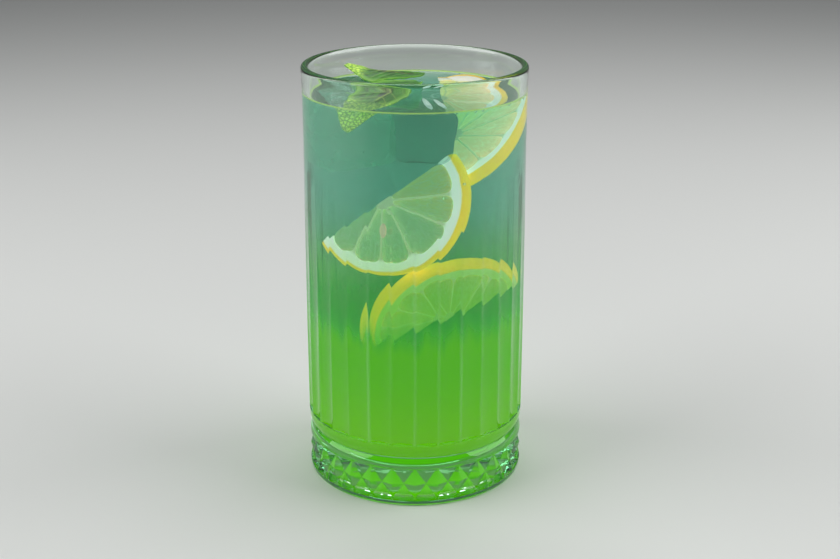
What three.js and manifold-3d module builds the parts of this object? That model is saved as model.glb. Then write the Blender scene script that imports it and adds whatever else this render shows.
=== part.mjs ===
// A tall pressed-glass tumbler of lemonade: 30 upright flutes on the wall, a ring of 30 cut diamonds
// round a heavy foot, lemonade to 10 mm under the rim, two ice cubes, two mint leaves and a
// half-moon of lemon that lean out of the surface. Millimetres, +Z up, origin at the centre of the
// foot, the front towards -Y.
import * as THREE from "three";
import { mergeVertices } from "three/addons/utils/BufferGeometryUtils.js";
import Module from "manifold-3d";

const wasm = await Module();
wasm.setup();

// Driving dimensions of the tumbler
const HEIGHT = 150;
const RIM_RADIUS = 39.2;
const BODY_RADIUS = 39.3;
const NECK_RADIUS = 38.9;
const FLUTES = 30;
const FLUTE_FOOT = 23.6;
const FLUTE_TOP = 116;
const FLUTE_DEPTH = 0.9;
const WAIST_HEIGHT = 18.2;
const WAIST_RADIUS = 37.8;
const DIAMOND_FOOT = 2.3;
const DIAMOND_TOP = 14.1;
const DIAMOND_RADIUS = 39.2;
const DIAMOND_DEPTH = 1.5;
const RECESS_RADIUS = 29.5;
const RECESS_DEPTH = 0.8;
const LIP_RADIUS = 1.3;

// The hollow inside it
const MOUTH_RADIUS = 36.6;
const FLOOR_HEIGHT = 18;
const FLOOR_RADIUS = 34.8;
const FLOOR_CORNER = 6;

// What fills it
const LEVEL = 140;
const MENISCUS = 0.7;
const GAP = 0.3;
const LEMON_RADIUS = 24.5;
const SLICE_THICKNESS = 5;
const LEAF_THICKNESS = 0.6;
const FRONT_LEAF = { length: 43, width: 19, blunt: 1.25, fold: 0.2, curl: -10, wave: 0.5 };
const BACK_LEAF = { length: 31, width: 16, blunt: 0.95, fold: -0.2, curl: 1, wave: 0.9 };
const LARGE_ICE = [24, 22, 24];
const SMALL_ICE = [18, 16, 18];
const ICE_ROUNDING = 3.5;

// Detail
const WALL_COLUMNS = FLUTES * 4;
const ROUND_COLUMNS = FLUTES * 2;
const CORNER_STEPS = 4;

// A point at a radius and height, a share of a turn round from the front.
function onRing(radius, height, share) {
  const angle = 2 * Math.PI * share - Math.PI / 2;
  return [radius * Math.cos(angle), radius * Math.sin(angle), height];
}

// A closed solid from rings of points, lowest first. slants(row, column) says which way a cell is split.
function stackOfRings(rings, slants = () => false) {
  const columns = rings[0].length;
  const points = rings.flat();
  const faces = [];
  for (let row = 0; row < rings.length - 1; row++) {
    for (let column = 0; column < columns; column++) {
      const next = (column + 1) % columns;
      const [a, b] = [row * columns + column, row * columns + next];
      const [c, d] = [a + columns, b + columns];
      faces.push(...(slants(row, column) ? [a, b, d, a, d, c] : [a, b, c, b, d, c]));
    }
  }
  const last = (rings.length - 1) * columns;
  for (const [start, up] of [[0, false], [last, true]]) {
    const centre = points.length;
    points.push([0, 0, points[start][2]]);
    for (let column = 0; column < columns; column++) {
      const [a, b] = [start + column, start + ((column + 1) % columns)];
      faces.push(...(up ? [centre, a, b] : [centre, b, a]));
    }
  }
  return closedGeometry(points, faces);
}

function closedGeometry(points, faces) {
  return new THREE.BufferGeometry()
    .setAttribute("position", new THREE.Float32BufferAttribute(points.flat(), 3))
    .setIndex(faces);
}

// Rings of one radius all the way round, from [radius, height] pairs.
function roundRings(profile, columns) {
  const shares = Array.from({ length: columns }, (_, i) => i / columns);
  return profile.map(([radius, height]) => shares.map((share) => onRing(radius, height, share)));
}

function toSolid(geometry) {
  const bare = geometry.clone().deleteAttribute("normal").deleteAttribute("uv");
  const merged = mergeVertices(bare, 1e-4);
  return new wasm.Manifold(
    new wasm.Mesh({
      numProp: 3,
      vertProperties: merged.attributes.position.array,
      triVerts: new Uint32Array(merged.index.array),
    }),
  );
}

function toGeometry(solid) {
  const mesh = solid.getMesh();
  return new THREE.BufferGeometry()
    .setAttribute("position", new THREE.Float32BufferAttribute(mesh.vertProperties, 3))
    .setIndex([...mesh.triVerts])
    .toNonIndexed();
}

function largestBody(solid) {
  return solid.decompose().reduce((best, body) => (body.volume() > best.volume() ? body : best));
}

// A quarter of a circle as [radius, height] pairs, from one angle to another in quarter turns.
function corner(centreRadius, centreHeight, size, from, to) {
  return Array.from({ length: CORNER_STEPS + 1 }, (_, i) => {
    const angle = (Math.PI / 2) * (from + ((to - from) * i) / CORNER_STEPS);
    return [centreRadius + size * Math.cos(angle), centreHeight + size * Math.sin(angle)];
  });
}

// The foot of the tumbler, up to the lower end of its flutes: a recess underneath, the band of
// diamonds, a sloping shoulder, the waist and the swell above it.
function footGeometry() {
  const below = [
    [RECESS_RADIUS, RECESS_DEPTH],
    [RECESS_RADIUS + 1, 0],
    [DIAMOND_RADIUS - 1.3, 0],
    [DIAMOND_RADIUS - 0.4, 0.6],
    [DIAMOND_RADIUS, DIAMOND_FOOT - 0.2],
  ];
  const above = [
    [DIAMOND_RADIUS, DIAMOND_TOP + 0.2],
    [DIAMOND_RADIUS - 0.5, DIAMOND_TOP + 2.2],
    [WAIST_RADIUS + 0.3, WAIST_HEIGHT - 0.7],
    [WAIST_RADIUS, WAIST_HEIGHT],
    [WAIST_RADIUS + 0.4, WAIST_HEIGHT + 0.6],
    [BODY_RADIUS - 0.4, WAIST_HEIGHT + 2],
    [BODY_RADIUS, WAIST_HEIGHT + 3.8],
    [BODY_RADIUS, FLUTE_FOOT],
  ];
  const diamondHeights = [DIAMOND_FOOT, (DIAMOND_FOOT + DIAMOND_TOP) / 2, DIAMOND_TOP];
  const diamonds = diamondHeights.map((height, row) =>
    Array.from({ length: ROUND_COLUMNS }, (_, column) => {
      const isPeak = (row + column) % 2 === 1;
      return onRing(DIAMOND_RADIUS - (isPeak ? 0 : DIAMOND_DEPTH), height, column / ROUND_COLUMNS);
    }),
  );
  const rings = [...roundRings(below, ROUND_COLUMNS), ...diamonds, ...roundRings(above, ROUND_COLUMNS)];
  const firstDiamondRow = below.length;
  // A diamond's valleys run from its points to its sides, so those cells are split along the valley.
  return stackOfRings(rings, (row, column) => {
    const diamondRow = row - firstDiamondRow;
    return diamondRow >= 0 && diamondRow < 2 && (diamondRow + column) % 2 === 0;
  });
}

// The wall above the foot. A flute is a hollow between two ridges, deepest at its lower end.
function wallGeometry() {
  const radiusAt = [
    [FLUTE_FOOT, BODY_RADIUS],
    [55, BODY_RADIUS],
    [88, BODY_RADIUS - 0.15],
    [FLUTE_TOP, NECK_RADIUS + 0.05],
    [132, NECK_RADIUS],
    [HEIGHT - 3.5, RIM_RADIUS - 0.1],
  ];
  const depthAt = (height) => FLUTE_DEPTH * Math.max(0, (FLUTE_TOP - height) / (FLUTE_TOP - FLUTE_FOOT));
  const rings = radiusAt.map(([height, radius]) =>
    Array.from({ length: WALL_COLUMNS }, (_, column) => {
      const across = ((column * FLUTES) / WALL_COLUMNS) % 1;
      const hollow = 1 - (2 * across - 1) ** 2;
      return onRing(radius - depthAt(height) * hollow, height, column / WALL_COLUMNS);
    }),
  );
  const lip = corner(RIM_RADIUS - LIP_RADIUS, HEIGHT - LIP_RADIUS, LIP_RADIUS, 0, 1);
  return stackOfRings([...rings, ...roundRings(lip, WALL_COLUMNS)]);
}

// The inside of the tumbler as [radius, height] pairs, from the middle of the floor to a height.
function hollowProfile(top, inset) {
  const slope = (MOUTH_RADIUS - FLOOR_RADIUS) / (HEIGHT - FLOOR_HEIGHT);
  const radiusAt = (height) => FLOOR_RADIUS + slope * (height - FLOOR_HEIGHT) - inset;
  const lift = FLOOR_HEIGHT + inset;
  const floorCorner = corner(FLOOR_RADIUS - FLOOR_CORNER, lift + FLOOR_CORNER, FLOOR_CORNER - inset, -1, 0);
  const wall = [60, 100, top].map((height) => [radiusAt(height), height]);
  return [[0, lift], ...floorCorner, ...wall];
}

function lathe(profile) {
  const points = profile.map(([radius, height]) => new THREE.Vector2(radius, height));
  return new THREE.LatheGeometry(points, ROUND_COLUMNS).rotateX(Math.PI / 2);
}

function tumblerGeometry() {
  const flare = corner(MOUTH_RADIUS + LIP_RADIUS, HEIGHT - LIP_RADIUS, LIP_RADIUS, 2, 1).slice(0, -1);
  const mouth = [...flare, [MOUTH_RADIUS + LIP_RADIUS - 0.15, HEIGHT + 0.1]];
  const hollow = [...hollowProfile(HEIGHT - LIP_RADIUS - 1, 0), ...mouth, [0, HEIGHT + 0.1]];
  const outside = toSolid(footGeometry()).add(toSolid(wallGeometry()));
  return toGeometry(outside.subtract(toSolid(lathe(hollow))));
}

// A box with rounded edges, a little narrower at its foot, as an ice cube from a tray is.
function iceGeometry([width, depth, height], grow) {
  const steps = 5;
  const shape = new THREE.BoxGeometry(width, depth, height, steps, steps, steps);
  const place = shape.getAttribute("position");
  const half = new THREE.Vector3(width, depth, height).multiplyScalar(0.5);
  const core = half.clone().subScalar(ICE_ROUNDING);
  for (let i = 0; i < place.count; i++) {
    const point = new THREE.Vector3().fromBufferAttribute(place, i);
    const inner = point.clone().clamp(core.clone().negate(), core);
    const out = point.clone().sub(inner).normalize();
    const eased = inner.addScaledVector(out, ICE_ROUNDING + grow);
    const taper = 1 + (0.1 * eased.z) / height;
    place.setXYZ(i, eased.x * taper, eased.y * taper, eased.z);
  }
  return shape;
}

// A half-moon of lemon in its own XY plane: its cut edge on the Y axis and its rind towards +X.
function sliceGeometry(grow) {
  const bevel = 0.5;
  const outline = new THREE.Shape();
  const rind = LEMON_RADIUS + grow - bevel;
  outline.moveTo(bevel - grow, -rind);
  outline.absarc(bevel - grow, 0, rind, -Math.PI / 2, Math.PI / 2, false);
  outline.closePath();
  const body = SLICE_THICKNESS + 2 * grow - 2 * bevel;
  return new THREE.ExtrudeGeometry(outline, {
    depth: body,
    curveSegments: 28,
    bevelEnabled: true,
    bevelThickness: bevel,
    bevelSize: bevel,
    bevelSegments: 1,
  }).translate(0, 0, -body / 2);
}

// A mint leaf along +X from its stalk end: a thin wavy sheet with a folded middle rib, a toothed
// edge and a tip that bends by curl millimetres. It is widest further out where blunt is larger.
function leafGeometry({ length, width, blunt, fold, curl, wave }, grow) {
  const [along, across] = [16, 8];
  const [stalk, tip] = [0.04, 0.98];
  const point = (i, j, side) => {
    const u = stalk + ((tip - stalk) * i) / along;
    const v = (2 * j) / across - 1;
    const tooth = 1 + 0.06 * (i % 2) * Math.abs(v) ** 4;
    const half = (width / 2) * Math.sin(Math.PI * u ** blunt) ** 0.7 * tooth + grow;
    const rise = fold * Math.abs(v) * half + curl * u ** 4;
    const waves = Math.sin(2.5 * Math.PI * u) * v * v + 0.3 * Math.cos(5 * Math.PI * u) * Math.abs(v);
    return [length * u, v * half, rise + wave * waves + side * (LEAF_THICKNESS / 2 + grow)];
  };
  const points = [];
  const faces = [];
  const index = (i, j, top) => (i * (across + 1) + j) * 2 + (top ? 1 : 0);
  for (let i = 0; i <= along; i++) {
    for (let j = 0; j <= across; j++) points.push(point(i, j, -1), point(i, j, 1));
  }
  for (let i = 0; i < along; i++) {
    for (let j = 0; j < across; j++) {
      for (const top of [true, false]) {
        const [a, b] = [index(i, j, top), index(i + 1, j, top)];
        const [c, d] = [index(i, j + 1, top), index(i + 1, j + 1, top)];
        faces.push(...(top ? [a, b, d, a, d, c] : [a, d, b, a, c, d]));
      }
    }
  }
  // The edge face between two neighbouring points of the outline, walked the same way round throughout.
  const stitch = ([i, j], [k, l]) => {
    const [p, q] = [index(i, j, false), index(k, l, false)];
    const [r, s] = [index(i, j, true), index(k, l, true)];
    faces.push(p, q, s, p, s, r);
  };
  for (let i = 0; i < along; i++) {
    stitch([i, 0], [i + 1, 0]);
    stitch([i + 1, across], [i, across]);
  }
  for (let j = 0; j < across; j++) {
    stitch([0, j + 1], [0, j]);
    stitch([along, j], [along, j + 1]);
  }
  return closedGeometry(points, faces);
}

// Where the pieces that break the surface lie: place in millimetres, turn as XYZ angles in degrees.
const pieces = [
  {
    name: "lemon_slice_upper",
    shape: sliceGeometry,
    place: [10.3, 7.5, 124],
    turn: [35, -27, 3],
    look: { color: 0xe6d23a, roughness: 0.45 },
  },
  {
    name: "ice_cube_left",
    shape: (grow) => iceGeometry(LARGE_ICE, grow),
    place: [-19, 3.5, 127.5],
    turn: [6, -5, 24],
    look: { color: 0xd8ece6, roughness: 0.1, transparent: true, opacity: 0.5 },
  },
  {
    name: "ice_cube_front",
    shape: (grow) => iceGeometry(SMALL_ICE, grow),
    place: [2.5, -21, 130.5],
    turn: [-6, 6, 12],
    look: { color: 0xd8ece6, roughness: 0.1, transparent: true, opacity: 0.5 },
  },
  {
    name: "mint_leaf_front",
    shape: (grow) => leafGeometry(FRONT_LEAF, grow),
    place: [2.5, 8, 141.7],
    turn: [0, 0, 236],
    look: { color: 0x5fae2c, roughness: 0.5 },
  },
  {
    name: "mint_leaf_back",
    shape: (grow) => leafGeometry(BACK_LEAF, grow),
    place: [4, 14, 143],
    turn: [0, 2, 163],
    look: { color: 0x4f9e28, roughness: 0.5 },
  },
];

function placed(geometry, { place, turn }) {
  const angles = turn.map(THREE.MathUtils.degToRad);
  const matrix = new THREE.Matrix4().makeRotationFromEuler(new THREE.Euler(...angles));
  return geometry.applyMatrix4(matrix.setPosition(...place));
}

function lemonadeGeometry() {
  const edge = hollowProfile(LEVEL + MENISCUS, GAP);
  const [wallRadius] = edge[edge.length - 1];
  const surface = [[wallRadius - 1.2, LEVEL + 0.1], [wallRadius - 2.6, LEVEL], [0, LEVEL]];
  const filled = toSolid(lathe([...edge, ...surface]));
  const room = pieces.map((piece) => toSolid(placed(piece.shape(GAP), piece)));
  return toGeometry(largestBody(room.reduce((left, solid) => left.subtract(solid), filled)));
}

function named(name, geometry, look) {
  geometry.computeVertexNormals();
  const mesh = new THREE.Mesh(geometry, new THREE.MeshStandardMaterial({ metalness: 0, ...look }));
  mesh.name = name;
  return mesh;
}

const clear = { color: 0xe4f2ea, roughness: 0.03, transparent: true, opacity: 0.3 };
const green = { color: 0x7cc242, roughness: 0.1, transparent: true, opacity: 0.75 };
const glassOfLemonade = new THREE.Group();
glassOfLemonade.add(named("tumbler", tumblerGeometry(), clear));
glassOfLemonade.add(named("lemonade", lemonadeGeometry(), green));
for (const piece of pieces) {
  glassOfLemonade.add(named(piece.name, placed(piece.shape(0), piece), piece.look));
}

export default glassOfLemonade;
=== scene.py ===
"""Dresses a fluted tumbler of green lemonade: pressed glass, drink, lemon slices, ice and mint."""
import math
import random

import bmesh
import bpy
from mathutils import Euler, Matrix, Vector, noise


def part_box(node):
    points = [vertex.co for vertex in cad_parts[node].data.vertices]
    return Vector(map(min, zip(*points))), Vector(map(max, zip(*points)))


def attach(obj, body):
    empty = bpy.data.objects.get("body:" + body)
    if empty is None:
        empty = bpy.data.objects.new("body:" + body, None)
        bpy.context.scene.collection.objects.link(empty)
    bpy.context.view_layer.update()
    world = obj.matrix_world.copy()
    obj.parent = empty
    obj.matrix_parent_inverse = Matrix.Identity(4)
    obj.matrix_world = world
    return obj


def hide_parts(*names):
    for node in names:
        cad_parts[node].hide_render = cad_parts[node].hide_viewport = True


bl_info = {
    "name": "Glass of Lemonade",
    "version": (1, 0, 0),
    "blender": (4, 5, 0),
    "location": "3D View > Sidebar > Lemonade",
    "description": "Builds a fluted tumbler of lemonade with lemon slices, ice and mint",
    "category": "Add Mesh",
}

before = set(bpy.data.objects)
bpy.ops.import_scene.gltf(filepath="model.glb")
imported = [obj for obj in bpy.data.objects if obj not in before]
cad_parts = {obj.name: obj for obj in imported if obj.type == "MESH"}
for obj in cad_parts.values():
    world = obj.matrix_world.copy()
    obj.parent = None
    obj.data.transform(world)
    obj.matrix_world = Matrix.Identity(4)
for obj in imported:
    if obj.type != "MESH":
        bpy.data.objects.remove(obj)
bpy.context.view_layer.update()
MM = 0.001
WELD = 0.002 * MM
TUMBLER_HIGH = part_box("tumbler")[1]


def length(name, millimetres, description):
    """A size stated in millimetres and kept in metres."""
    return bpy.props.FloatProperty(
        name=name, description=description, default=millimetres * MM, unit="LENGTH", precision=5)


def share(name, value, description):
    """A factor from 0 to 1."""
    return bpy.props.FloatProperty(
        name=name, description=description, default=value, min=0, max=1, subtype="FACTOR")


def tint(name, value, description):
    """A linear colour."""
    return bpy.props.FloatVectorProperty(
        name=name, description=description, default=value, size=3, min=0, max=1, subtype="COLOR")


class LEMONADE_PG_tumbler(bpy.types.PropertyGroup):
    """Sizes of the pressed-glass tumbler."""

    height: length("Height", TUMBLER_HIGH[2] / MM, "From the table to the rim")
    body_radius: length("Body radius", TUMBLER_HIGH[0] / MM, "Outside, over the flutes' ridges")
    rim_radius: length("Rim radius", 39.2, "Outside, at the lip")
    neck_radius: length("Neck radius", 38.9, "Outside, on the smooth band under the lip")
    mouth_radius: length("Mouth radius", 36.6, "Inside, under the lip")
    floor_radius: length("Floor radius", 34.8, "Inside, above the rounded corner of the floor")
    floor_height: length("Floor height", 18, "Thickness of the glass under the drink")
    floor_corner: length("Floor corner", 6, "Radius between the floor and the wall")
    lip_radius: length("Lip radius", 1.3, "Rounding of the rim")
    flutes: bpy.props.IntProperty(name="Flutes", description="Number of flutes and diamonds", default=30)
    flute_depth: length("Flute depth", 0.9, "Deepest hollow of a flute, at its lower end")
    flute_foot: length("Flute foot", 23.6, "Where the flutes end in a ledge")
    flute_top: length("Flute top", 116, "Where the flutes fade out")
    diamond_radius: length("Diamond radius", 39.2, "Outside, over the points of the diamonds")
    diamond_depth: length("Diamond depth", 1.5, "From a diamond's point to its valleys")
    diamond_foot: length("Diamond foot", 2.3, "Lower edge of the cut band")
    diamond_top: length("Diamond top", 14.1, "Upper edge of the cut band")
    waist_radius: length("Waist radius", 37.8, "At the groove above the foot")
    waist_height: length("Waist height", 18.2, "Of the groove above the foot")
    glass_tint: tint("Glass tint", (0.95, 0.985, 0.965), "Faint green of the thick glass")
    foot_glow: tint("Foot glow", (0.07, 0.2, 0.0), "Green light that the drink sends into the foot")
    depth_tint: tint("Depth tint", (0.15, 0.76, 0.4), "Light that comes through thick glass")
    density: bpy.props.FloatProperty(name="Density", description="Strength of the depth tint", default=20)
    # Painted highlight: share of the flutes' ridges that is rougher and glows a pale green
    rough_ridge_highlight: share("Rubbed", 0.11, "Share of dull glass on the ridges between the flutes")


class LEMONADE_PG_drink(bpy.types.PropertyGroup):
    """Level and colours of the lemonade."""

    level: length("Level", 140, "Height of the surface above the table")
    meniscus: length("Meniscus", 0.7, "How far the surface climbs the glass")
    into_wall: length("Into the wall", 0.3, "How far the drink reaches into the glass, to show no air")
    clear_above: length("Clear above", 101, "Where the cloudy lower layer begins to form")
    cloudy_below: length("Cloudy below", 56, "Where the lower layer is at its thickest")
    bubbles: bpy.props.IntProperty(name="Bubbles", description="Number of small bubbles", default=70)
    haze: share("Haze", 0.12, "Share of cloud in the upper drink")
    middle_haze: share("Middle haze", 0.34, "Share of cloud where the layers meet")
    # Colours of the cloud, which it also emits as a painted glow:
    upper: tint("Upper colour", (0.08, 0.28, 0.17), "Blue-green of the upper drink")
    middle: tint("Middle colour", (0.0, 0.44, 0.05), "Green where the layers meet")
    lower: tint("Lower colour", (0.075, 0.42, 0.0), "Vivid green of the lower drink")
    bottom: tint("Bottom colour", (0.12, 0.46, 0.0), "Yellower green at the bottom")
    # Painted highlight: this colour is also emitted along the water line
    line: tint("Water line", (0.36, 0.56, 0.13), "Bright edge where the drink climbs the glass")
    depth_tint: tint("Depth tint", (0.0, 0.71, 0.575), "Light that comes through the deep drink")
    density: bpy.props.FloatProperty(name="Density", description="Strength of the depth tint", default=34)


class LEMONADE_PG_lemon(bpy.types.PropertyGroup):
    """Sizes and colours of the lemon slices."""

    zest: length("Zest", 0.9, "Yellow skin at the edge of a slice's face")
    pith: length("Pith", 3.2, "White layer inside the skin")
    membrane: length("Membrane", 0.75, "Wall between two segments")
    corner: length("Corner", 3.4, "Rounding of a segment's outer corners")
    core: length("Core", 3, "Radius of the white middle")
    voxel: length("Detail", 0.3, "Size of the mesh's faces")
    skin_colour: tint("Skin colour", (0.95, 0.6, 0.02), "Yellow of the skin")
    pith_colour: tint("Pith colour", (0.93, 0.94, 0.84), "White of the pith")
    # Pulp colours of lit and shaded copies, one for each depth: warm at the surface, greener lower down
    pulp_colour: tint("Pulp colour", (0.7, 0.9, 0.5), "Green-yellow of the sunk pulp")
    lit_pulp: tint("Bright pulp colour", (1.0, 0.7, 0.36), "Warm yellow of the pulp at the surface")
    low_pulp: tint("Low pulp colour", (0.8, 0.85, 0.12), "Yellow-green of the pulp in the cloudy drink")
    seed_colour: tint("Seed colour", (1.0, 0.6, 0.42), "Of a seed that shows in the pulp")
    pith_light: tint("Pith light", (0.85, 0.7, 0.66), "Light that comes through the pith")
    dull_light: tint("Dull light", (0.4, 0.45, 0.12), "The same, deep in the cloudy drink")


class LEMONADE_PG_garnish(bpy.types.PropertyGroup):
    """Sizes and colours of the mint and the ice."""

    leaf_thickness: length("Leaf thickness", 0.45, "Of a mint leaf")
    leaf_colour: tint("Leaf colour", (0.025, 0.13, 0.015), "Green of the leaf")
    vein_colour: tint("Vein colour", (0.42, 0.62, 0.12), "Pale green of the veins")
    ice_rounding: length("Ice rounding", 3.5, "Radius of an ice cube's edges")
    ice_tint: tint("Ice tint", (0.9, 0.98, 0.95), "Of the large cube")
    clear_tint: tint("Clear tint", (0.66, 0.84, 0.8), "Of the small dark clear cube")


class LEMONADE_PG_studio(bpy.types.PropertyGroup):
    """Camera, floor and lights."""

    lens: bpy.props.FloatProperty(
        name="Lens", description="Focal length on a 36 mm sensor", default=58.48, unit="CAMERA")
    camera_side: length("Camera side", 1.8, "Camera's place to the right of the glass")
    camera_distance: length("Camera distance", 466.4, "Camera's place in front of the glass")
    camera_height: length("Camera height", 235.2, "Camera's height above the table")
    camera_pitch: bpy.props.FloatProperty(
        name="Camera pitch", description="Downward tilt", default=math.radians(19.387), subtype="ANGLE")
    floor_colour: tint("Floor colour", (0.78, 0.79, 0.77), "Pale floor")
    floor_width: length("Floor width", 6000, "Side of the square floor")
    room_light: bpy.props.FloatProperty(name="Room light", description="Even light", default=0.15)
    side_light: bpy.props.FloatProperty(name="Side light", description="Watts of each softbox", default=7.5)


def settings(name):
    """The property group of one part of the model."""
    return getattr(bpy.context.scene, "lemonade_" + name)


class Value:
    """A socket in a material, so that patterns are written as sums."""

    def __init__(self, finish, socket):
        self.finish = finish
        self.socket = socket

    def math(self, operation, *others):
        inputs = dict(enumerate((self, *others)))
        return self.finish.node("ShaderNodeMath", {"operation": operation}, inputs)

    def reflected(self, operation, other):
        return self.finish.node("ShaderNodeMath", {"operation": operation}, {0: other, 1: self})

    def __add__(self, other):
        return self.math("ADD", other)

    def __radd__(self, other):
        return self.math("ADD", other)

    def __sub__(self, other):
        return self.math("SUBTRACT", other)

    def __rsub__(self, other):
        return self.reflected("SUBTRACT", other)

    def __mul__(self, other):
        return self.math("MULTIPLY", other)

    def __rmul__(self, other):
        return self.math("MULTIPLY", other)

    def step(self, start, end):
        """0 up to start, then smoothly to 1 at end. start may be the larger."""
        rising = {"interpolation_type": "SMOOTHSTEP"}
        return self.finish.node("ShaderNodeMapRange", rising, {0: self, 1: start, 2: end, 3: 0.0, 4: 1.0})


class Finish:
    """A material that is built node by node."""

    def __init__(self, name):
        self.material = bpy.data.materials.new(name)
        self.material.use_nodes = True
        self.tree = self.material.node_tree
        self.tree.nodes.clear()

    @staticmethod
    def find(sockets, key):
        if isinstance(key, int):
            return sockets[key]
        return next((socket for socket in sockets if socket.identifier == key), None) or sockets[key]

    def node(self, kind, choices=None, inputs=None, output=0):
        """Adds any node: its choices are set first, then the values or links of its sockets."""
        made = self.tree.nodes.new(kind)
        for name, choice in (choices or {}).items():
            setattr(made, name, choice)
        for key, given in (inputs or {}).items():
            socket = self.find(made.inputs, key)
            if isinstance(given, Value):
                self.tree.links.new(given.socket, socket)
            else:
                socket.default_value = given
        return Value(self, self.find(made.outputs, output))

    def split(self, vector):
        """The three numbers of a vector."""
        parts = self.node("ShaderNodeSeparateXYZ", inputs={0: vector}).socket.node.outputs
        return [Value(self, part) for part in parts]

    def place(self):
        return self.node("ShaderNodeTexCoord", output="Object")

    def stored(self, name):
        return self.node("ShaderNodeAttribute", {"attribute_name": name}, output="Vector")

    def mix(self, factor, low, high):
        """A colour between low and high, each an RGB triple or a link."""
        low, high = [colour if isinstance(colour, Value) else (*colour, 1) for colour in (low, high)]
        colours = {"Factor_Float": factor, "A_Color": low, "B_Color": high}
        return self.node("ShaderNodeMix", {"data_type": "RGBA"}, colours, "Result_Color")

    def noise(self, vector, scale, detail):
        inputs = {"Vector": vector, "Scale": scale, "Detail": detail}
        return self.node("ShaderNodeTexNoise", inputs=inputs, output="Fac")

    def grain(self, x, y, height, squash, scale):
        """Noise that is drawn out along the height."""
        drawn_out = self.node("ShaderNodeCombineXYZ", inputs={0: x, 1: y, 2: height * squash})
        return self.noise(drawn_out, scale, 2)

    def cells(self, vector, scale, feature="F1"):
        inputs = {"Vector": vector, "Scale": scale}
        return self.node("ShaderNodeTexVoronoi", {"feature": feature}, inputs, "Distance")

    def bump(self, height, distance, strength):
        inputs = {"Height": height, "Distance": distance, "Strength": strength}
        return self.node("ShaderNodeBump", inputs=inputs, output="Normal")

    def principled(self, **inputs):
        titles = [key.replace("_", " ").title().replace("Ior", "IOR") for key in inputs]
        return self.node("ShaderNodeBsdfPrincipled", inputs=dict(zip(titles, inputs.values())))

    def absorption(self, colour, density):
        """What a clear body takes out of the light that passes through it."""
        inputs = {"Color": (*colour, 1), "Density": density}
        return self.node("ShaderNodeVolumeAbsorption", inputs=inputs)

    def blend(self, factor, first, second):
        return self.node("ShaderNodeMixShader", inputs={0: factor, 1: first, 2: second})

    def surface(self, shader, volume=None):
        links = {"Surface": shader, **({"Volume": volume} if volume else {})}
        out = self.tree.nodes.new("ShaderNodeOutputMaterial")
        for key, given in links.items():
            self.tree.links.new(given.socket, out.inputs[key])
        return self.material


def deselect():
    """Leaves edit mode and clears the selection."""
    if bpy.context.object and bpy.context.object.mode != "OBJECT":
        bpy.ops.object.mode_set(mode="OBJECT")
    bpy.ops.object.select_all(action="DESELECT")


def pick(obj):
    """Makes obj the only selected object."""
    deselect()
    obj.select_set(True)
    bpy.context.view_layer.objects.active = obj
    return obj


def begin(add, **how):
    """Adds a primitive by its operator and opens it in edit mode, selected all over."""
    deselect()
    add(**how)
    bpy.ops.object.mode_set(mode="EDIT")
    bpy.ops.mesh.select_all(action="SELECT")
    return bpy.context.object


def draw_line(points, closed=False):
    """Draws edges through points by extruding one vertex from each point to the next, in edit mode."""
    obj = begin(bpy.ops.mesh.primitive_plane_add, size=MM)
    bpy.ops.mesh.merge(type="CENTER")
    bpy.ops.transform.translate(value=Vector(points[0]))
    for here, there in zip(points, points[1:]):
        step = Vector(there) - Vector(here)
        bpy.ops.mesh.extrude_vertices_move(TRANSFORM_OT_translate={"value": step})
    bpy.ops.mesh.select_all(action="SELECT")
    if closed:
        bpy.ops.mesh.edge_face_add()
    return obj


def spin_round(steps):
    """Spins what is selected about the upright axis and closes its seams and poles."""
    bpy.ops.mesh.spin(steps=steps, angle=math.tau, center=(0, 0, 0), axis=(0, 0, 1))
    tidy_mesh()


def tidy_mesh():
    """Welds points that lie on each other and turns all faces outwards."""
    bpy.ops.mesh.select_all(action="SELECT")
    bpy.ops.mesh.remove_doubles(threshold=WELD)
    bpy.ops.mesh.normals_make_consistent(inside=False)


def apply_modifier(obj, kind, **how):
    """Adds one modifier to obj and applies it."""
    pick(obj)
    modifier = obj.modifiers.new(kind.title(), kind)
    for name, value in how.items():
        setattr(modifier, name, value)
    bpy.ops.object.modifier_apply(modifier=modifier.name)


def roughen(obj, size, strength):
    """Makes obj uneven with a cloud texture of the given grain."""
    name = "unevenness" + str(size)
    clouds = bpy.data.textures.get(name) or bpy.data.textures.new(name, "CLOUDS")
    clouds.noise_scale = size
    apply_modifier(
        obj, "DISPLACE", texture=clouds, strength=strength, mid_level=0.5, texture_coords="LOCAL")


def settle(obj, place, turn):
    """Moves obj to its place in millimetres, turned about its own axes, and leaves its origin behind."""
    turned = Euler([math.radians(angle) for angle in turn], "ZYX").to_matrix().to_4x4()
    obj.matrix_world = Matrix.Translation(Vector(place) * MM) @ turned
    settle_in_place(obj)


def settle_in_place(obj):
    """Leaves obj where it is and its origin at the frame's."""
    pick(obj)
    bpy.ops.object.transform_apply(location=True, rotation=True, scale=True)


def finish_piece(obj, name, material, replaces=(), smooth_angle=None):
    """Names obj, dresses it and hands it to the frame."""
    pick(obj)
    obj.name = obj.data.name = name
    obj.data.materials.clear()
    obj.data.materials.append(material)
    if smooth_angle is None:
        bpy.ops.object.shade_smooth()
    else:
        bpy.ops.object.shade_smooth_by_angle(angle=math.radians(smooth_angle))
    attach(obj, "root")
    if replaces:
        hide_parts(*replaces)


def join(objects):
    """Joins objects into the first one."""
    pick(objects[0])
    for other in objects[1:]:
        other.select_set(True)
    if len(objects) > 1:
        bpy.ops.object.join()
    return objects[0]


def straight(start, end, steps):
    """Points after start on a straight line to end."""
    return [Vector(start).lerp(Vector(end), (i + 1) / steps) for i in range(steps)]


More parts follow.
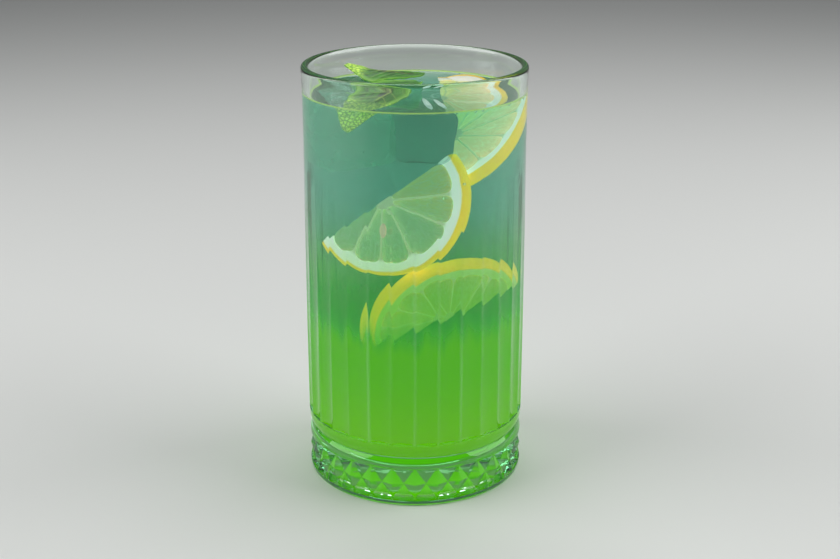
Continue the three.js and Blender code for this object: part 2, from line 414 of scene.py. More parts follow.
def curve(start, control, end, steps):
    """Points after start on a curve that control pulls towards itself, ending at end."""
    start, control, end = Vector(start), Vector(control), Vector(end)
    shares = [(i + 1) / steps for i in range(steps)]
    return [start.lerp(control, t).lerp(control.lerp(end, t), t) for t in shares]


def upright(points):
    """Turns radius and height pairs into points of the front half-plane."""
    return [(0, -point[0], point[1]) for point in points]


def hollow_radius(glass, height):
    """Radius of the tumbler's inside wall at a height."""
    rise = (height - glass.floor_height) / (glass.height - glass.floor_height)
    return glass.floor_radius + (glass.mouth_radius - glass.floor_radius) * rise


def foot_profile(glass):
    """Radius and height pairs from the middle of the underside up to the flutes."""
    edge = glass.diamond_radius
    recess, bite = 29.5 * MM, 0.8 * MM
    points = [(0, bite), (recess, bite)]
    points += curve(points[-1], (recess + 0.8 * MM, bite), (recess + MM, 0), 3)
    points += [(edge - 1.3 * MM, 0)]
    points += curve(points[-1], (edge, 0), (edge, 1.7 * MM), 5)
    points += [(edge, glass.diamond_foot - 0.1 * MM), (edge, glass.diamond_foot)]
    points += straight(points[-1], (edge, glass.diamond_top), 20)
    points += [(edge, glass.diamond_top + 0.1 * MM), (edge, glass.diamond_top + 0.3 * MM)]
    waist, groove = glass.waist_radius, glass.waist_height
    into_groove = (waist + 0.25 * MM, groove - 0.4 * MM)
    points += curve(points[-1], (edge - 0.1 * MM, groove - 1.8 * MM), into_groove, 6)
    points += curve(points[-1], (waist - 0.1 * MM, groove), (waist + 0.35 * MM, groove + 0.5 * MM), 4)
    swell = (glass.body_radius - 0.1 * MM, groove + 1.2 * MM)
    points += curve(points[-1], swell, (glass.body_radius, groove + 3.8 * MM), 6)
    points += [(glass.body_radius, glass.flute_foot)]
    return points


def wall_profile(glass):
    """Radius and height pairs of the outside wall, from the flutes' ledge over the rim to the floor."""
    flat = glass.flute_foot + 0.06 * MM
    points = [(glass.body_radius, flat)]
    points += straight(points[-1], (glass.body_radius, 55 * MM), 8)
    points += straight(points[-1], (glass.body_radius - 0.15 * MM, 88 * MM), 5)
    points += straight(points[-1], (glass.neck_radius + 0.05 * MM, glass.flute_top), 6)
    points += straight(points[-1], (glass.neck_radius, 132 * MM), 2)
    points += curve(points[-1], (glass.neck_radius, 140 * MM), (glass.rim_radius - 0.1 * MM, 146.5 * MM), 4)
    lip, top = glass.lip_radius, glass.height
    points += curve(points[-1], (glass.rim_radius, top - 2 * lip), (glass.rim_radius, top - lip), 2)
    points += arc((glass.rim_radius - lip, top - lip), lip, 0, 90, 8)
    points += arc((glass.mouth_radius + lip, top - lip), lip, 90, 180, 8)
    corner = glass.floor_corner
    inside_foot = glass.floor_height + corner
    points += straight(points[-1], (hollow_radius(glass, inside_foot), inside_foot), 12)
    centre = (hollow_radius(glass, inside_foot) - corner, inside_foot)
    points += arc(centre, corner, 0, -90, 8)
    points += straight(points[-1], (0, glass.floor_height), 6)
    return points


def arc(centre, radius, start, end, steps):
    """Points on an arc between two angles in degrees."""
    angles = [math.radians(start + (end - start) * i / steps) for i in range(steps + 1)]
    return [Vector((centre[0] + radius * math.cos(a), centre[1] + radius * math.sin(a))) for a in angles]


def around(point, parts):
    """How many parts of a full turn, from the front, a point lies round the axis."""
    return ((math.atan2(point.y, point.x) + math.pi / 2) / math.tau % 1) * parts


def diamond_relief(glass, point):
    """Share of a diamond's height at a point of the cut band: 1 at a diamond's point, 0 in a valley."""
    across = around(point, 2 * glass.flutes)
    up = 2 * (point.z - glass.diamond_foot) / (glass.diamond_top - glass.diamond_foot)
    column, row = math.floor(across + 1e-4), min(math.floor(up + 1e-4), 1)
    a, b = across - column, up - row
    return abs(a - b) if (column + row) % 2 == 0 else abs(a + b - 1)


def outside_from(glass):
    """Radius beyond which a point belongs to the tumbler's outside."""
    return glass.diamond_radius - 3 * MM


def press_pattern(obj, glass):
    """Presses the flutes and the diamonds into the tumbler's outside."""
    inner = outside_from(glass)
    slack = 0.01 * MM
    for vertex in obj.data.vertices:
        point = vertex.co
        radius = math.hypot(point.x, point.y)
        if radius < inner - slack:
            continue
        depth = 0
        if glass.diamond_foot - slack <= point.z <= glass.diamond_top + slack:
            depth = glass.diamond_depth * (1 - diamond_relief(glass, point))
        elif glass.flute_foot + slack < point.z < glass.flute_top and radius > glass.neck_radius - slack:
            across = around(point, glass.flutes) % 1
            fade = (glass.flute_top - point.z) / (glass.flute_top - glass.flute_foot)
            depth = glass.flute_depth * fade * (1 - (2 * across - 1) ** 2)
        point.x *= 1 - depth / radius
        point.y *= 1 - depth / radius


def crease_valleys(obj, glass):
    """Splits each face of the cut band so that its valleys and ridges run straight."""
    mesh = bmesh.new()
    mesh.from_mesh(obj.data)
    low, high = glass.diamond_foot, glass.diamond_top
    inner = outside_from(glass)
    for face in list(mesh.faces):
        middle = face.calc_center_median()
        if len(face.verts) != 4 or not low < middle.z < high or math.hypot(middle.x, middle.y) < inner:
            continue
        out = [math.hypot(vertex.co.x, vertex.co.y) for vertex in face.verts]
        start = 0 if abs(out[0] - out[2]) < abs(out[1] - out[3]) else 1
        bmesh.utils.face_split(face, face.verts[start], face.verts[start + 2])
    mesh.to_mesh(obj.data)
    mesh.free()


def from_axis(x, y):
    """Distance from the upright axis."""
    return (x * x + y * y).math("SQRT")


def glass_finish(glass):
    """Clear pressed glass, green where it is thick, with a painted green glow in the foot, rougher ridges
    that carry a painted highlight, and the waviness of pressing.
    """
    finish = Finish("pressed_glass")
    place = finish.place()
    x, y, height = finish.split(place)
    waves = finish.noise(place, 70, 1.5) + 0.25 * finish.noise(place, 420, 1)
    off_axis = from_axis(x, y)
    # Painted light: the foot glows with the drink's green, strongest low down and towards the middle
    in_foot = height.step(20 * MM, 4 * MM) * off_axis.step(33 * MM, 24 * MM)
    glow = finish.mix(in_foot, (0, 0, 0), glass.foot_glow)
    clear = finish.principled(
        base_color=(*glass.glass_tint, 1), roughness=0.015, ior=1.5, transmission_weight=1.0,
        emission_color=glow, emission_strength=1.0, normal=finish.bump(waves, 0.05 * MM, 0.5))
    turns = y.math("ARCTAN2", x) * (glass.flutes / math.tau) + glass.flutes / 4
    ridge = turns.math("PINGPONG", 0.5).step(0.12, 0.0)
    outside = off_axis.step(37.2 * MM, 37.8 * MM)
    fluted = height.step(112 * MM, 86 * MM) * height.step(glass.flute_foot - MM, glass.flute_foot)
    streaks = finish.grain(x, y, height, 0.06, 300)
    # Painted highlight: streaks along the ridges are rougher and glow a pale green
    rough_ridge_highlight = ridge * outside * fluted * streaks.step(0.3, 0.7) * glass.rough_ridge_highlight
    dull = finish.principled(
        base_color=(0.6, 0.85, 0.6, 1), roughness=0.5,
        emission_color=(0.25, 0.55, 0.25, 1), emission_strength=0.35)
    thick = finish.absorption(glass.depth_tint, glass.density)
    return finish.surface(finish.blend(rough_ridge_highlight, clear, dull), thick)


def drink_finish(drink):
    """Lemonade that is clear blue-green above and a cloudy vivid green below; the cloud glows with painted
    light and a painted highlight runs along its water line.
    """
    finish = Finish("green_lemonade")
    place = finish.place()
    x, y, height = finish.split(place)
    drift = finish.noise(place, 28, 2) - 0.5
    strands = finish.grain(x, y, height, 0.08, 330) - 0.5
    level = height + drift * (10 * MM) + strands * (15 * MM)
    depth = level.step(drink.clear_above, drink.cloudy_below + 14 * MM)
    thick = level.step(drink.cloudy_below + 15 * MM, drink.cloudy_below)
    # Brighter and yellower towards the bottom
    toward_bottom = finish.mix(height.step(52 * MM, 20 * MM), drink.lower, drink.bottom)
    colour = finish.mix(thick, finish.mix(depth, drink.upper, drink.middle), toward_bottom)
    clear = finish.principled(
        base_color=finish.mix(depth, (0.85, 0.97, 0.9), (0.85, 0.95, 0.12)), roughness=0.0, ior=1.333,
        transmission_weight=1.0)
    # Painted glow: the cloud emits its own colour, so it shines whatever light reaches it
    cloudy = finish.principled(
        base_color=finish.mix(0.5, (0, 0, 0), colour), roughness=0.5, ior=1.333, specular_ior_level=0.0,
        emission_color=colour, emission_strength=0.75)
    haze = drink.haze + (drink.middle_haze - drink.haze) * depth
    share_of_cloud = haze + (1 - haze) * thick
    # Painted highlight: a glowing band where the drink climbs the glass above its level
    at_glass = from_axis(x, y).step(35.4 * MM, 36 * MM)
    brim = at_glass * height.step(drink.level, drink.level + 0.4 * MM)
    line = finish.principled(
        base_color=(*drink.line, 1), roughness=0.3, emission_color=(*drink.line, 1), emission_strength=0.5)
    body = finish.blend(share_of_cloud, clear, cloudy)
    deep = finish.absorption(drink.depth_tint, drink.density)
    return finish.surface(finish.blend(brim * 0.75, body, line), deep)


def lemon_coordinates(obj, radius):
    """Stores each vertex's place in the fruit, in radii, so that colours follow the slice."""
    spots = obj.data.attributes.new("fruit", "FLOAT_VECTOR", "POINT")
    for vertex in obj.data.vertices:
        spots.data[vertex.index].vector = vertex.co / radius


def fruit_polar(finish):
    """Distance from the core and angle round it, of a point of a slice, and its height over the middle."""
    x, y, z = finish.split(finish.stored("fruit"))
    return from_axis(x, y), y.math("ARCTAN2", x), z


def rind_finish(name, lemon, pith_light):
    """Yellow dimpled skin, pith and pale membranes; pith_light is the light that comes through the pith,
    painted in as a glow of the pith and the skin below the drink's surface.
    """
    finish = Finish(name)
    far, _, _ = fruit_polar(finish)
    radius = 25 * MM
    patchy = finish.noise(finish.stored("fruit"), 6, 3)
    edge = far + (patchy - 0.5) * 0.03
    zest = edge.step(1 - (lemon.zest + 0.7 * MM) / radius, 1 - lemon.zest / radius)
    peel = lemon.zest + lemon.pith
    flesh = edge.step(1 - peel / radius, 1 - (peel + 1.6 * MM) / radius)
    skin = finish.mix(patchy, lemon.skin_colour, (0.9, 0.68, 0.03))
    # Painted light: the skin and the pith emit these colours, and stop emitting above the drink's surface
    skin_light = finish.mix(patchy, (0.98, 0.48, 0.0), (0.98, 0.55, 0.0))
    inside = finish.mix(flesh, lemon.pith_colour, (0.64, 0.72, 0.46))
    _, _, height = finish.split(finish.place())
    white = finish.mix(flesh, pith_light, (0.45, 0.38, 0.24))
    glow = finish.mix(zest, white, skin_light)
    lit = finish.mix(height.step(138 * MM, 141 * MM), glow, (0, 0, 0))
    pores = finish.cells(finish.place(), 620)
    relief = pores * zest + 0.3 * finish.noise(finish.place(), 900, 2)
    return finish.surface(finish.principled(
        base_color=finish.mix(zest, inside, skin), roughness=0.42, specular_ior_level=0.12,
        subsurface_weight=0.3, subsurface_scale=2 * MM, subsurface_radius=(1, 0.9, 0.5),
        emission_color=lit, emission_strength=1.0,
        normal=finish.bump(relief, 0.25 * MM, 0.7)))


def pulp_finish(name, colour_of_juice, glow, body):
    """Wet pulp with long juice sacs, yellower on one side; body is the share that light doesn't pass, and
    glow the strength of its painted glow.
    """
    finish = Finish(name)
    far, angle, height = fruit_polar(finish)
    sacs = finish.node("ShaderNodeCombineXYZ", inputs={0: far * 3.2, 1: angle * 9.0, 2: height * 6.0})
    walls = finish.cells(sacs, 2.2, "DISTANCE_TO_EDGE").step(0.0, 0.12)
    cloudy = finish.noise(finish.stored("fruit"), 5, 3)
    juice = finish.mix(cloudy, colour_of_juice, [0.85 * part for part in colour_of_juice])
    # Yellower on one side of the slice
    yellower_side = finish.mix(angle.step(0.3, 0.9) * 0.7, juice, (1.0, 0.88, 0.35))
    sac_wall = [0.5 * (part + pale) for part, pale in zip(colour_of_juice, (0.95, 0.96, 0.75))]
    colour = finish.mix(walls, sac_wall, yellower_side)
    wet = finish.principled(
        base_color=colour, roughness=0.22, ior=1.36, transmission_weight=0.9,
        normal=finish.bump(walls, 0.5 * MM, 0.8))
    # Painted glow: the solid pulp emits its own colour at the strength glow
    solid = finish.principled(
        base_color=colour, roughness=0.4, specular_ior_level=0.12, subsurface_weight=0.6,
        subsurface_scale=3 * MM, emission_color=colour, emission_strength=glow)
    return finish.surface(finish.blend(body, wet, solid))


def segment_outline(start, end, offsets, inner, outer, corner):
    """Outline of one segment of pulp between two angles, each side drawn in by its offset."""
    def side(angle, inward, offset):
        along = Vector((math.cos(angle), math.sin(angle)))
        off = Vector((-along.y, along.x)) * inward * offset
        reach = math.sqrt(max(outer * outer - offset * offset, 0))
        return off + along * inner, off + along * (outer - corner), off + along * reach
    low_in, low_turn, low_corner = side(start, 1, offsets[0])
    high_in, high_turn, high_corner = side(end, -1, offsets[1])
    first = start + (offsets[0] + corner) / outer
    last = end - (offsets[1] + corner) / outer
    rim = arc((0, 0), outer, math.degrees(first), math.degrees(last), 8)
    outline = [low_in, low_turn] + curve(low_turn, low_corner, rim[0], 4) + rim[1:]
    outline += curve(rim[-1], high_corner, high_turn, 4) + [high_in]
    return [(point.x, point.y) for point in outline]


def raise_outlines(outlines, low, high):
    """Flat outlines drawn, filled and raised from one height to another, joined."""
    blocks = []
    for outline in outlines:
        obj = draw_line([(x, y, low) for x, y in outline], closed=True)
        bpy.ops.mesh.extrude_region_move(TRANSFORM_OT_translate={"value": (0, 0, high - low)})
        tidy_mesh()
        bpy.ops.object.mode_set(mode="OBJECT")
        blocks.append(obj)
    return join(blocks)


def half_disc(radius, thickness):
    """A half-moon with a rounded rind towards +X and its cut edge on the Y axis."""
    half, round_off = thickness / 2, 1.1 * MM
    profile = [Vector((0, -half)), Vector((radius - round_off, -half))]
    profile += curve(profile[-1], (radius, -half), (radius, 0), 6)
    profile += curve(profile[-1], (radius, half), (radius - round_off, half), 6)
    profile += [Vector((0, half))]
    obj = draw_line(upright(profile))
    bpy.ops.mesh.spin(steps=72, angle=-math.pi, center=(0, 0, 0), axis=(0, 0, 1))
    bpy.ops.mesh.select_all(action="SELECT")
    bpy.ops.mesh.remove_doubles(threshold=WELD)
    bpy.ops.mesh.select_all(action="DESELECT")
    bpy.ops.mesh.select_non_manifold()
    bpy.ops.mesh.edge_face_add()
    tidy_mesh()
    bpy.ops.object.mode_set(mode="OBJECT")
    return obj


def make_slice(lemon, name, size, place, turn, walls, finishes, replaces=()):
    """One half-moon of lemon. walls are the angles, in degrees, of the membranes between its segments."""
    radius, thickness = size
    outer = radius - lemon.zest - lemon.pith
    edges = [-90, *walls, 90]

    def outlines(cut_offset, wall_offset):
        drawn = []
        for start, end in zip(edges, edges[1:]):
            offsets = [cut_offset if abs(angle) == 90 else wall_offset for angle in (start, end)]
            ends = math.radians(start), math.radians(end)
            drawn.append(segment_outline(*ends, offsets, lemon.core, outer, lemon.corner))
        return drawn
    body = half_disc(radius, thickness)
    holes = raise_outlines(outlines(-0.5 * MM, lemon.membrane / 2), -thickness, thickness)
    apply_modifier(body, "BOOLEAN", object=holes, operation="DIFFERENCE", solver="EXACT")
    bpy.data.objects.remove(holes)
    half = thickness / 2 - 0.15 * MM
    pulp = raise_outlines(outlines(0.1 * MM, lemon.membrane / 2 - 0.12 * MM), -half, half)
    for obj in (body, pulp):
        apply_modifier(obj, "REMESH", mode="VOXEL", voxel_size=lemon.voxel)
        apply_modifier(obj, "SMOOTH", iterations=3, factor=0.5)
        roughen(obj, 2.2 * MM, 0.35 * MM if obj is pulp else 0.2 * MM)
        lemon_coordinates(obj, radius)
        settle(obj, place, turn)
    finish_piece(body, name + "_rind", finishes[0], replaces)
    finish_piece(pulp, name + "_pulp", finishes[1])


def leaf_point(shape, u, v):
    """A point of a mint leaf: u from 0 at the stalk to 1 at the tip, v from -1 to 1 across."""
    teeth = 1 + 0.06 * abs(math.sin(8 * math.pi * u)) * abs(v) ** 4
    half = shape["width"] / 2 * math.sin(math.pi * u ** shape["blunt"]) ** 0.7 * teeth
    rise = shape["fold"] * abs(v) * half + shape["curl"] * u ** 4
    waves = math.sin(2.5 * math.pi * u) * v * v + 0.3 * math.cos(5 * math.pi * u) * abs(v)
    veins = vein_share(u, v)
    return Vector((shape["length"] * u, v * half, rise + shape["wave"] * waves - 0.35 * veins)) * MM


def vein_share(u, v):
    """1 on a vein of a leaf and 0 between veins."""
    side = (u - 0.22 * abs(v)) * 9
    branch = max(0, 1 - abs(side - round(side)) * 7) * min(1, 8 * abs(v))
    rib = max(0, 1 - abs(v) * 9)
    return max(branch, rib) * (1 - 0.5 * abs(v))


def make_leaf(garnish, name, shape, place, turn, material):
    """A thin wavy mint leaf with toothed edges, raised between its veins."""
    columns, rows = 96, 40
    obj = begin(bpy.ops.mesh.primitive_grid_add, x_subdivisions=columns, y_subdivisions=rows, size=2)
    bpy.ops.object.mode_set(mode="OBJECT")
    spots = obj.data.attributes.new("leaf", "FLOAT_VECTOR", "POINT")
    first, last = 0.04, 0.98
    for vertex in obj.data.vertices:
        u = first + (last - first) * (vertex.co.x + 1) / 2
        v = vertex.co.y
        spots.data[vertex.index].vector = (u, v, vein_share(u, v))
        vertex.co = leaf_point(shape, u, v)
    apply_modifier(obj, "SOLIDIFY", thickness=garnish.leaf_thickness, offset=0)
    settle(obj, place, turn)
    finish_piece(obj, name, material, (name.replace("leaf_of_", ""),))


def mint_finish(garnish):
    """Fresh mint: satin green with pale veins, letting light through; a painted shadow runs along the fold,
    the margins and the crinkled tip are painted lighter, and the leaf glows with painted light, most at the
    tip.
    """
    finish = Finish("mint_leaf")
    u, v, vein = finish.split(finish.stored("leaf"))
    blotch = finish.noise(finish.stored("leaf"), 7, 4)
    out = v.math("ABSOLUTE")
    crinkles = finish.cells(finish.place(), 700, "DISTANCE_TO_EDGE").step(0.0, 0.25)
    blade = finish.mix(blotch.step(0.35, 0.7), garnish.leaf_colour, (0.08, 0.32, 0.03))
    # Painted highlight: lighter towards the margins
    blade = finish.mix(out.step(0.72, 0.95) * 0.8, blade, (0.2, 0.5, 0.05))
    # Painted shadow: a dark band along the fold by the midrib, in the middle of the leaf's length
    groove = out.step(0.3, 0.08) * u.step(0.1, 0.2) * u.step(0.68, 0.5)
    blade = finish.mix(groove, blade, (0.003, 0.03, 0.01))
    # Painted light and shade: from two thirds of its length the leaf turns pale, crossed by fine dark lines
    # of crinkles
    tip = finish.mix(crinkles, (0.1, 0.3, 0.02), (0.5, 0.72, 0.1))
    blade = finish.mix(u.step(0.66, 0.8), blade, tip)
    colour = finish.mix(vein.step(0.2, 0.9) * 0.7, blade, garnish.vein_colour)
    crumple = finish.noise(finish.place(), 900, 3)
    # Painted glow: the leaf emits its colour, four times as strongly at the tip
    leaf = finish.principled(
        base_color=colour, roughness=0.34, subsurface_weight=0.25, subsurface_scale=MM,
        subsurface_radius=(0.5, 1, 0.2), emission_strength=0.5,
        emission_color=finish.mix(u.step(0.66, 0.8), finish.mix(0.25, (0, 0, 0), colour), colour),
        normal=finish.bump(crumple, 0.2 * MM, 0.6))
    return finish.surface(leaf)


def make_ice(garnish, name, size, place, turn, material, replaces):
    """An ice cube from a tray: a block that narrows downwards, with rounded uneven faces."""
    obj = begin(bpy.ops.mesh.primitive_cube_add, size=1)
    bpy.ops.transform.resize(value=Vector(size) * MM)
    bpy.ops.mesh.bevel(offset=garnish.ice_rounding, segments=5, affect="EDGES")
    bpy.ops.object.mode_set(mode="OBJECT")
    for vertex in obj.data.vertices:
        taper = 1 + 0.1 * vertex.co.z / (size[2] * MM)
        vertex.co.x *= taper
        vertex.co.y *= taper
    apply_modifier(obj, "REMESH", mode="VOXEL", voxel_size=0.5 * MM)
    apply_modifier(obj, "SMOOTH", iterations=6, factor=0.5)
    roughen(obj, 7 * MM, 0.9 * MM)
    settle(obj, place, turn)
    finish_piece(obj, name, material, replaces)


def ice_finish(name, colour, frost):
    """Wet ice: clear outside, frosted where frost is high; the frost glows with painted light."""
    finish = Finish(name)
    place = finish.place()
    veil = 0.4 + 0.6 * finish.noise(place, 110, 4).step(0.4, 0.7)
    clear = finish.principled(
        base_color=(*colour, 1), roughness=0.05, ior=1.004, transmission_weight=1.0,
        normal=finish.bump(finish.noise(place, 160, 2), 0.6 * MM, 0.5))
    # Painted glow: the frosted part emits a pale green
    white = finish.principled(
        base_color=(0.2, 0.48, 0.36, 1), roughness=0.5,
        emission_color=(0.2, 0.5, 0.36, 1), emission_strength=0.5)
    return finish.surface(finish.blend(veil * frost, clear, white))


class LEMONADE_OT_tumbler(bpy.types.Operator):
    """Spin the tumbler from its profile and press its flutes and diamonds"""

    bl_idname = "lemonade.tumbler"
    bl_label = "Tumbler"

    def execute(self, context):
        glass = settings("tumbler")
        obj = draw_line(upright(foot_profile(glass) + wall_profile(glass)))
        spin_round(glass.flutes * 20)
        bpy.ops.object.mode_set(mode="OBJECT")
        press_pattern(obj, glass)
        crease_valleys(obj, glass)
        finish_piece(obj, "fluted_tumbler", glass_finish(glass), ("tumbler",), 24)
        return {"FINISHED"}


class LEMONADE_OT_drink(bpy.types.Operator):
    """Spin the lemonade, a hair wider than the hollow, with its meniscus"""

    bl_idname = "lemonade.drink"
    bl_label = "Drink"

    def execute(self, context):
        glass, drink = settings("tumbler"), settings("drink")
        grow = drink.into_wall
        corner = glass.floor_corner
        bottom = glass.floor_height + corner
        top = drink.level + drink.meniscus
        centre = (hollow_radius(glass, bottom) - corner, bottom)
        underside = glass.floor_height - grow
        profile = [Vector((0, underside))]
        profile += straight(profile[-1], (centre[0], underside), 6)
        profile += arc(centre, corner + grow, -90, 0, 8)[1:]
        profile += straight(profile[-1], (hollow_radius(glass, top) + grow, top), 20)
        brim = hollow_radius(glass, top)
        profile += curve((brim, top), (brim - 0.5 * MM, drink.level), (brim - 2.6 * MM, drink.level), 6)
        profile += straight(profile[-1], (0, drink.level), 24)
        obj = draw_line(upright(profile))
        spin_round(240)
        bpy.ops.object.mode_set(mode="OBJECT")
        flat = brim - 2.4 * MM
        for vertex in obj.data.vertices:
            radius = math.hypot(vertex.co.x, vertex.co.y)
            if abs(vertex.co.z - drink.level) < 0.05 * MM and radius < flat:
                swell = noise.noise(vertex.co / (9 * MM))
                vertex.co.z += 0.3 * MM * swell * (1 - (radius / flat) ** 4)
        finish_piece(obj, "lemonade_drink", drink_finish(drink), ("lemonade",), 40)
        return {"FINISHED"}


class LEMONADE_OT_lemon(bpy.types.Operator):
    """Cut three half-moons of lemon and sink them in the drink"""

    bl_idname = "lemonade.lemon"
    bl_label = "Lemon slices"

    def execute(self, context):
        lemon = settings("lemon")
        rind = rind_finish("lemon_rind", lemon, lemon.pith_light)
        # The low slice's rind gets less painted glow, as if shaded deep in the cloudy drink
        shaded_rind = rind_finish("shaded_rind", lemon, lemon.dull_light)
        # Lit and shaded copies of the pulp: the upper slice's is warm yellow and glows most, the sunk ones
        # are greener and glow less
        bright = rind, pulp_finish("lit_pulp", lemon.lit_pulp, 0.95, 0.6)
        sunk = rind, pulp_finish("sunk_pulp", lemon.pulp_colour, 0.4, 0.42)
        low = shaded_rind, pulp_finish("low_pulp", lemon.low_pulp, 0.4, 0.7)
        make_slice(lemon, "lemon_upper", (24.5 * MM, 4.6 * MM), (10.3, 7.5, 124), (35, -27, 3),
                   (-62, -30, 4, 38, 66), bright, ("lemon_slice_upper",))
        middle, tilt = (-8.2, -11.4, 105.9), (75.2, -19.5, -52.5)
        make_slice(lemon, "lemon_middle", (26 * MM, 5.5 * MM), middle, tilt, (-66, -40, -12, 28, 58), sunk)
        make_slice(lemon, "lemon_lower", (25 * MM, 5.5 * MM), (8.5, -4, 63), (122, 21, 106),
                   (-58, -24, 10, 40, 68), low)
        self.add_seed(lemon, middle, tilt)
        return {"FINISHED"}

    def add_seed(self, lemon, place, turn):
        """One seed that bulges from the middle slice's face."""
        seed = begin(bpy.ops.mesh.primitive_uv_sphere_add, segments=24, ring_count=16, radius=1)
        bpy.ops.transform.resize(value=(2.6 * MM, 1.3 * MM, 0.9 * MM))
        bpy.ops.transform.rotate(value=math.radians(38), orient_axis="Z", center_override=(0, 0, 0))
        bpy.ops.transform.translate(value=(8.3 * MM, -6.2 * MM, 2.4 * MM))
        bpy.ops.object.mode_set(mode="OBJECT")
        settle(seed, place, turn)
        finish = Finish("lemon_seed")
        shade = finish.noise(finish.place(), 500, 2)
        colour = finish.mix(shade, lemon.seed_colour, (0.9, 0.5, 0.32))
        # Painted glow: the seed emits its own colour
        glowing_husk = finish.principled(
            base_color=colour, roughness=0.35, emission_color=colour, emission_strength=0.7)
        finish_piece(seed, "lemon_seed", finish.surface(glowing_husk))


class LEMONADE_OT_mint(bpy.types.Operator):
    """Shape two mint leaves that float among the ice"""

    bl_idname = "lemonade.mint"
    bl_label = "Mint leaves"

    def execute(self, context):
        garnish = settings("garnish")
        material = mint_finish(garnish)
        front = {"length": 43, "width": 19, "blunt": 1.25, "fold": 0.2, "curl": -10, "wave": 0.5}
        back = {"length": 31, "width": 16, "blunt": 0.95, "fold": -0.2, "curl": 1, "wave": 0.9}
        make_leaf(garnish, "leaf_of_mint_leaf_front", front, (2.5, 8, 141.7), (0, 0, 236), material)
        make_leaf(garnish, "leaf_of_mint_leaf_back", back, (4, 14, 143), (0, 2, 163), material)
        return {"FINISHED"}


class LEMONADE_OT_ice(bpy.types.Operator):
    """Mould two ice cubes that float at the surface"""

    bl_idname = "lemonade.ice"
    bl_label = "Ice"

    def execute(self, context):
        garnish = settings("garnish")
        make_ice(garnish, "cloudy_ice", (24, 22, 24), (-19, 3.5, 127.5), (6, -5, 24),
                 ice_finish("frosted_glowing_ice", garnish.ice_tint, 0.6), ("ice_cube_left",))
        make_ice(garnish, "clear_ice", (18, 16, 18), (2.5, -21, 130.5), (-6, 6, 12),
                 ice_finish("clear_ice", garnish.clear_tint, 0.05), ("ice_cube_front",))
        return {"FINISHED"}


class LEMONADE_OT_cracks(bpy.types.Operator):
    """Lay two white cracks in the top of the small ice cube"""

    bl_idname = "lemonade.cracks"
    bl_label = "Cracks in the ice"

    def execute(self, context):
        cracks = []
        for place, turn, size in (((4.2, -18.5, 139), (2, 0, 9), (1.1, 8.5, 0.45)),
                                  ((8.4, -18.5, 139), (3, 0, 14), (0.95, 7.5, 0.4))):
            crack = begin(bpy.ops.mesh.primitive_uv_sphere_add, segments=32, ring_count=24, radius=1)
            bpy.ops.transform.resize(value=Vector(size) * MM)
            bpy.ops.object.mode_set(mode="OBJECT")
            roughen(crack, 1.5 * MM, 0.5 * MM)
            settle(crack, place, turn)
            cracks.append(crack)
        finish = Finish("white_crack")
        # Painted glow: the cracks emit a pale white
        glowing_crack = finish.principled(
            base_color=(0.8, 0.88, 0.86, 1), roughness=0.6,
            emission_color=(0.7, 0.82, 0.8, 1), emission_strength=0.4)
        finish_piece(join(cracks), "ice_cracks", finish.surface(glowing_crack))
        return {"FINISHED"}


class LEMONADE_OT_bubbles(bpy.types.Operator):
    """Scatter small bubbles along the water line and through the upper drink"""

    bl_idname = "lemonade.bubbles"
    bl_label = "Bubbles"

    def execute(self, context):
        glass, drink = settings("tumbler"), settings("drink")
        rng = random.Random(11)
        bubbles = []
        for number in range(drink.bubbles):
            angle = rng.uniform(0, math.tau)
            size = rng.uniform(0.25, 0.6) * MM
            if number % 2:
                height = drink.level - size * 0.3
            else:
                height = drink.level - rng.uniform(3, 75) * MM
            reach = hollow_radius(glass, height) - 1.6 * size
            spot = (reach * math.cos(angle), reach * math.sin(angle), height)
            deselect()
            bpy.ops.mesh.primitive_ico_sphere_add(subdivisions=3, radius=size, location=spot)
            bubbles.append(bpy.context.object)
        bubble = join(bubbles)
        settle_in_place(bubble)
        finish = Finish("bubble")
        film = finish.principled(
            base_color=(0.9, 1, 0.95, 1), roughness=0.0, ior=1.25, transmission_weight=1.0)
        finish_piece(bubble, "bubbles", finish.surface(film))
        return {"FINISHED"}


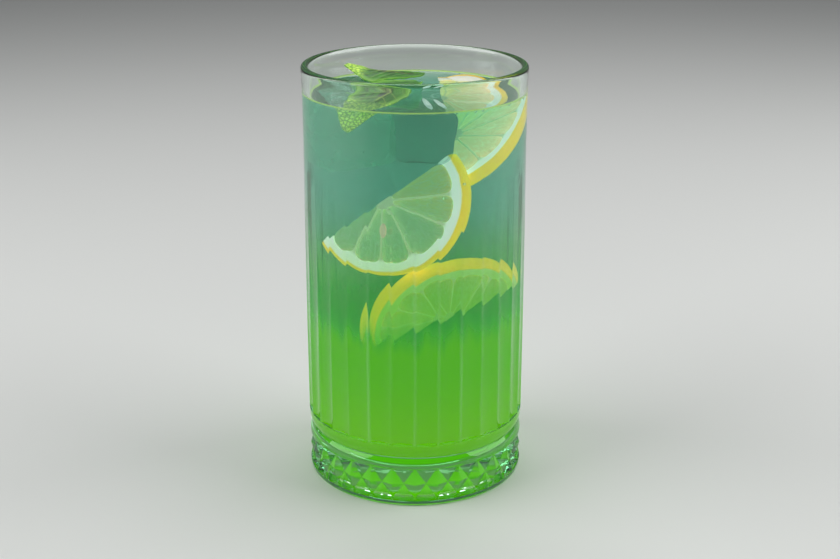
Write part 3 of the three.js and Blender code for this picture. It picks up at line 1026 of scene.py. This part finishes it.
class LEMONADE_OT_stage(bpy.types.Operator):
    """Lay the pale floor, hang the softboxes and set the camera"""

    bl_idname = "lemonade.stage"
    bl_label = "Stage"

    def execute(self, context):
        studio = settings("studio")
        self.lay_floor(studio)
        self.set_camera(studio)
        world = bpy.data.worlds.new("studio")
        bpy.context.scene.world = world
        world.use_nodes = True
        background = world.node_tree.nodes["Background"]
        background.inputs["Color"].default_value = (0.95, 0.98, 1, 1)
        background.inputs["Strength"].default_value = studio.room_light
        aim = Vector((0, 0, 0.07))
        watts = studio.side_light
        for name, spot, width, height, power in (
                ("left", (-0.85, -0.2, 0.5), 0.9, 0.9, watts),
                ("right", (0.88, -0.05, 0.5), 0.9, 0.9, watts),
                ("top", (0.05, 0.4, 0.9), 0.7, 0.5, 0.3 * watts)):
            deselect()
            bpy.ops.object.light_add(type="AREA", location=spot)
            light = bpy.context.object
            light.name = "softbox_" + name
            light.data.shape = "RECTANGLE"
            light.data.size, light.data.size_y = width, height
            light.data.energy = power
            light.visible_camera = False
            light.rotation_euler = (aim - Vector(spot)).to_track_quat("-Z", "Y").to_euler()
        bpy.context.scene.view_settings.view_transform = "Standard"
        return {"FINISHED"}

    def lay_floor(self, studio):
        begin(bpy.ops.mesh.primitive_plane_add, size=studio.floor_width)
        bpy.ops.mesh.subdivide(number_cuts=4)
        bpy.ops.object.mode_set(mode="OBJECT")
        floor = bpy.context.object
        floor.name = "pale_floor"
        floor.location.z = -0.03 * MM
        finish = Finish("pale_floor")
        mottle = finish.noise(finish.place(), 3, 3)
        colour = finish.mix(mottle, studio.floor_colour, [0.97 * part for part in studio.floor_colour])
        floor.data.materials.append(finish.surface(finish.principled(base_color=colour, roughness=0.6)))

    def set_camera(self, studio):
        deselect()
        spot = (studio.camera_side, -studio.camera_distance, studio.camera_height)
        bpy.ops.object.camera_add(location=spot, rotation=(math.pi / 2 - studio.camera_pitch, 0, 0))
        camera = bpy.context.object
        camera.data.lens = studio.lens
        camera.data.sensor_width = 36
        bpy.context.scene.camera = camera


class LEMONADE_PT_build(bpy.types.Panel):
    """Lists the pieces in the order that they are built."""

    bl_idname = "LEMONADE_PT_build"
    bl_label = "Glass of Lemonade"
    bl_space_type = "VIEW_3D"
    bl_region_type = "UI"
    bl_category = "Lemonade"

    def draw(self, context):
        for operator in OPERATORS:
            self.layout.operator(operator.bl_idname)
        for name, group in GROUPS.items():
            box = self.layout.box()
            box.label(text=name.title())
            for key in group.__annotations__:
                box.prop(settings(name), key)


OPERATORS = (LEMONADE_OT_tumbler, LEMONADE_OT_drink, LEMONADE_OT_lemon, LEMONADE_OT_mint,
             LEMONADE_OT_ice, LEMONADE_OT_cracks, LEMONADE_OT_bubbles, LEMONADE_OT_stage)
GROUPS = {
    "tumbler": LEMONADE_PG_tumbler,
    "drink": LEMONADE_PG_drink,
    "lemon": LEMONADE_PG_lemon,
    "garnish": LEMONADE_PG_garnish,
    "studio": LEMONADE_PG_studio,
}


def register():
    for group in (*GROUPS.values(), *OPERATORS, LEMONADE_PT_build):
        bpy.utils.register_class(group)
    for name, group in GROUPS.items():
        setattr(bpy.types.Scene, "lemonade_" + name, bpy.props.PointerProperty(type=group))


def unregister():
    for name in GROUPS:
        delattr(bpy.types.Scene, "lemonade_" + name)
    for group in (LEMONADE_PT_build, *OPERATORS, *GROUPS.values()):
        bpy.utils.unregister_class(group)


def main():
    register()
    bpy.ops.lemonade.tumbler()
    bpy.ops.lemonade.drink()
    bpy.ops.lemonade.lemon()
    bpy.ops.lemonade.mint()
    bpy.ops.lemonade.ice()
    bpy.ops.lemonade.cracks()
    bpy.ops.lemonade.bubbles()
    bpy.ops.lemonade.stage()


if __name__ == "__main__":
    main()
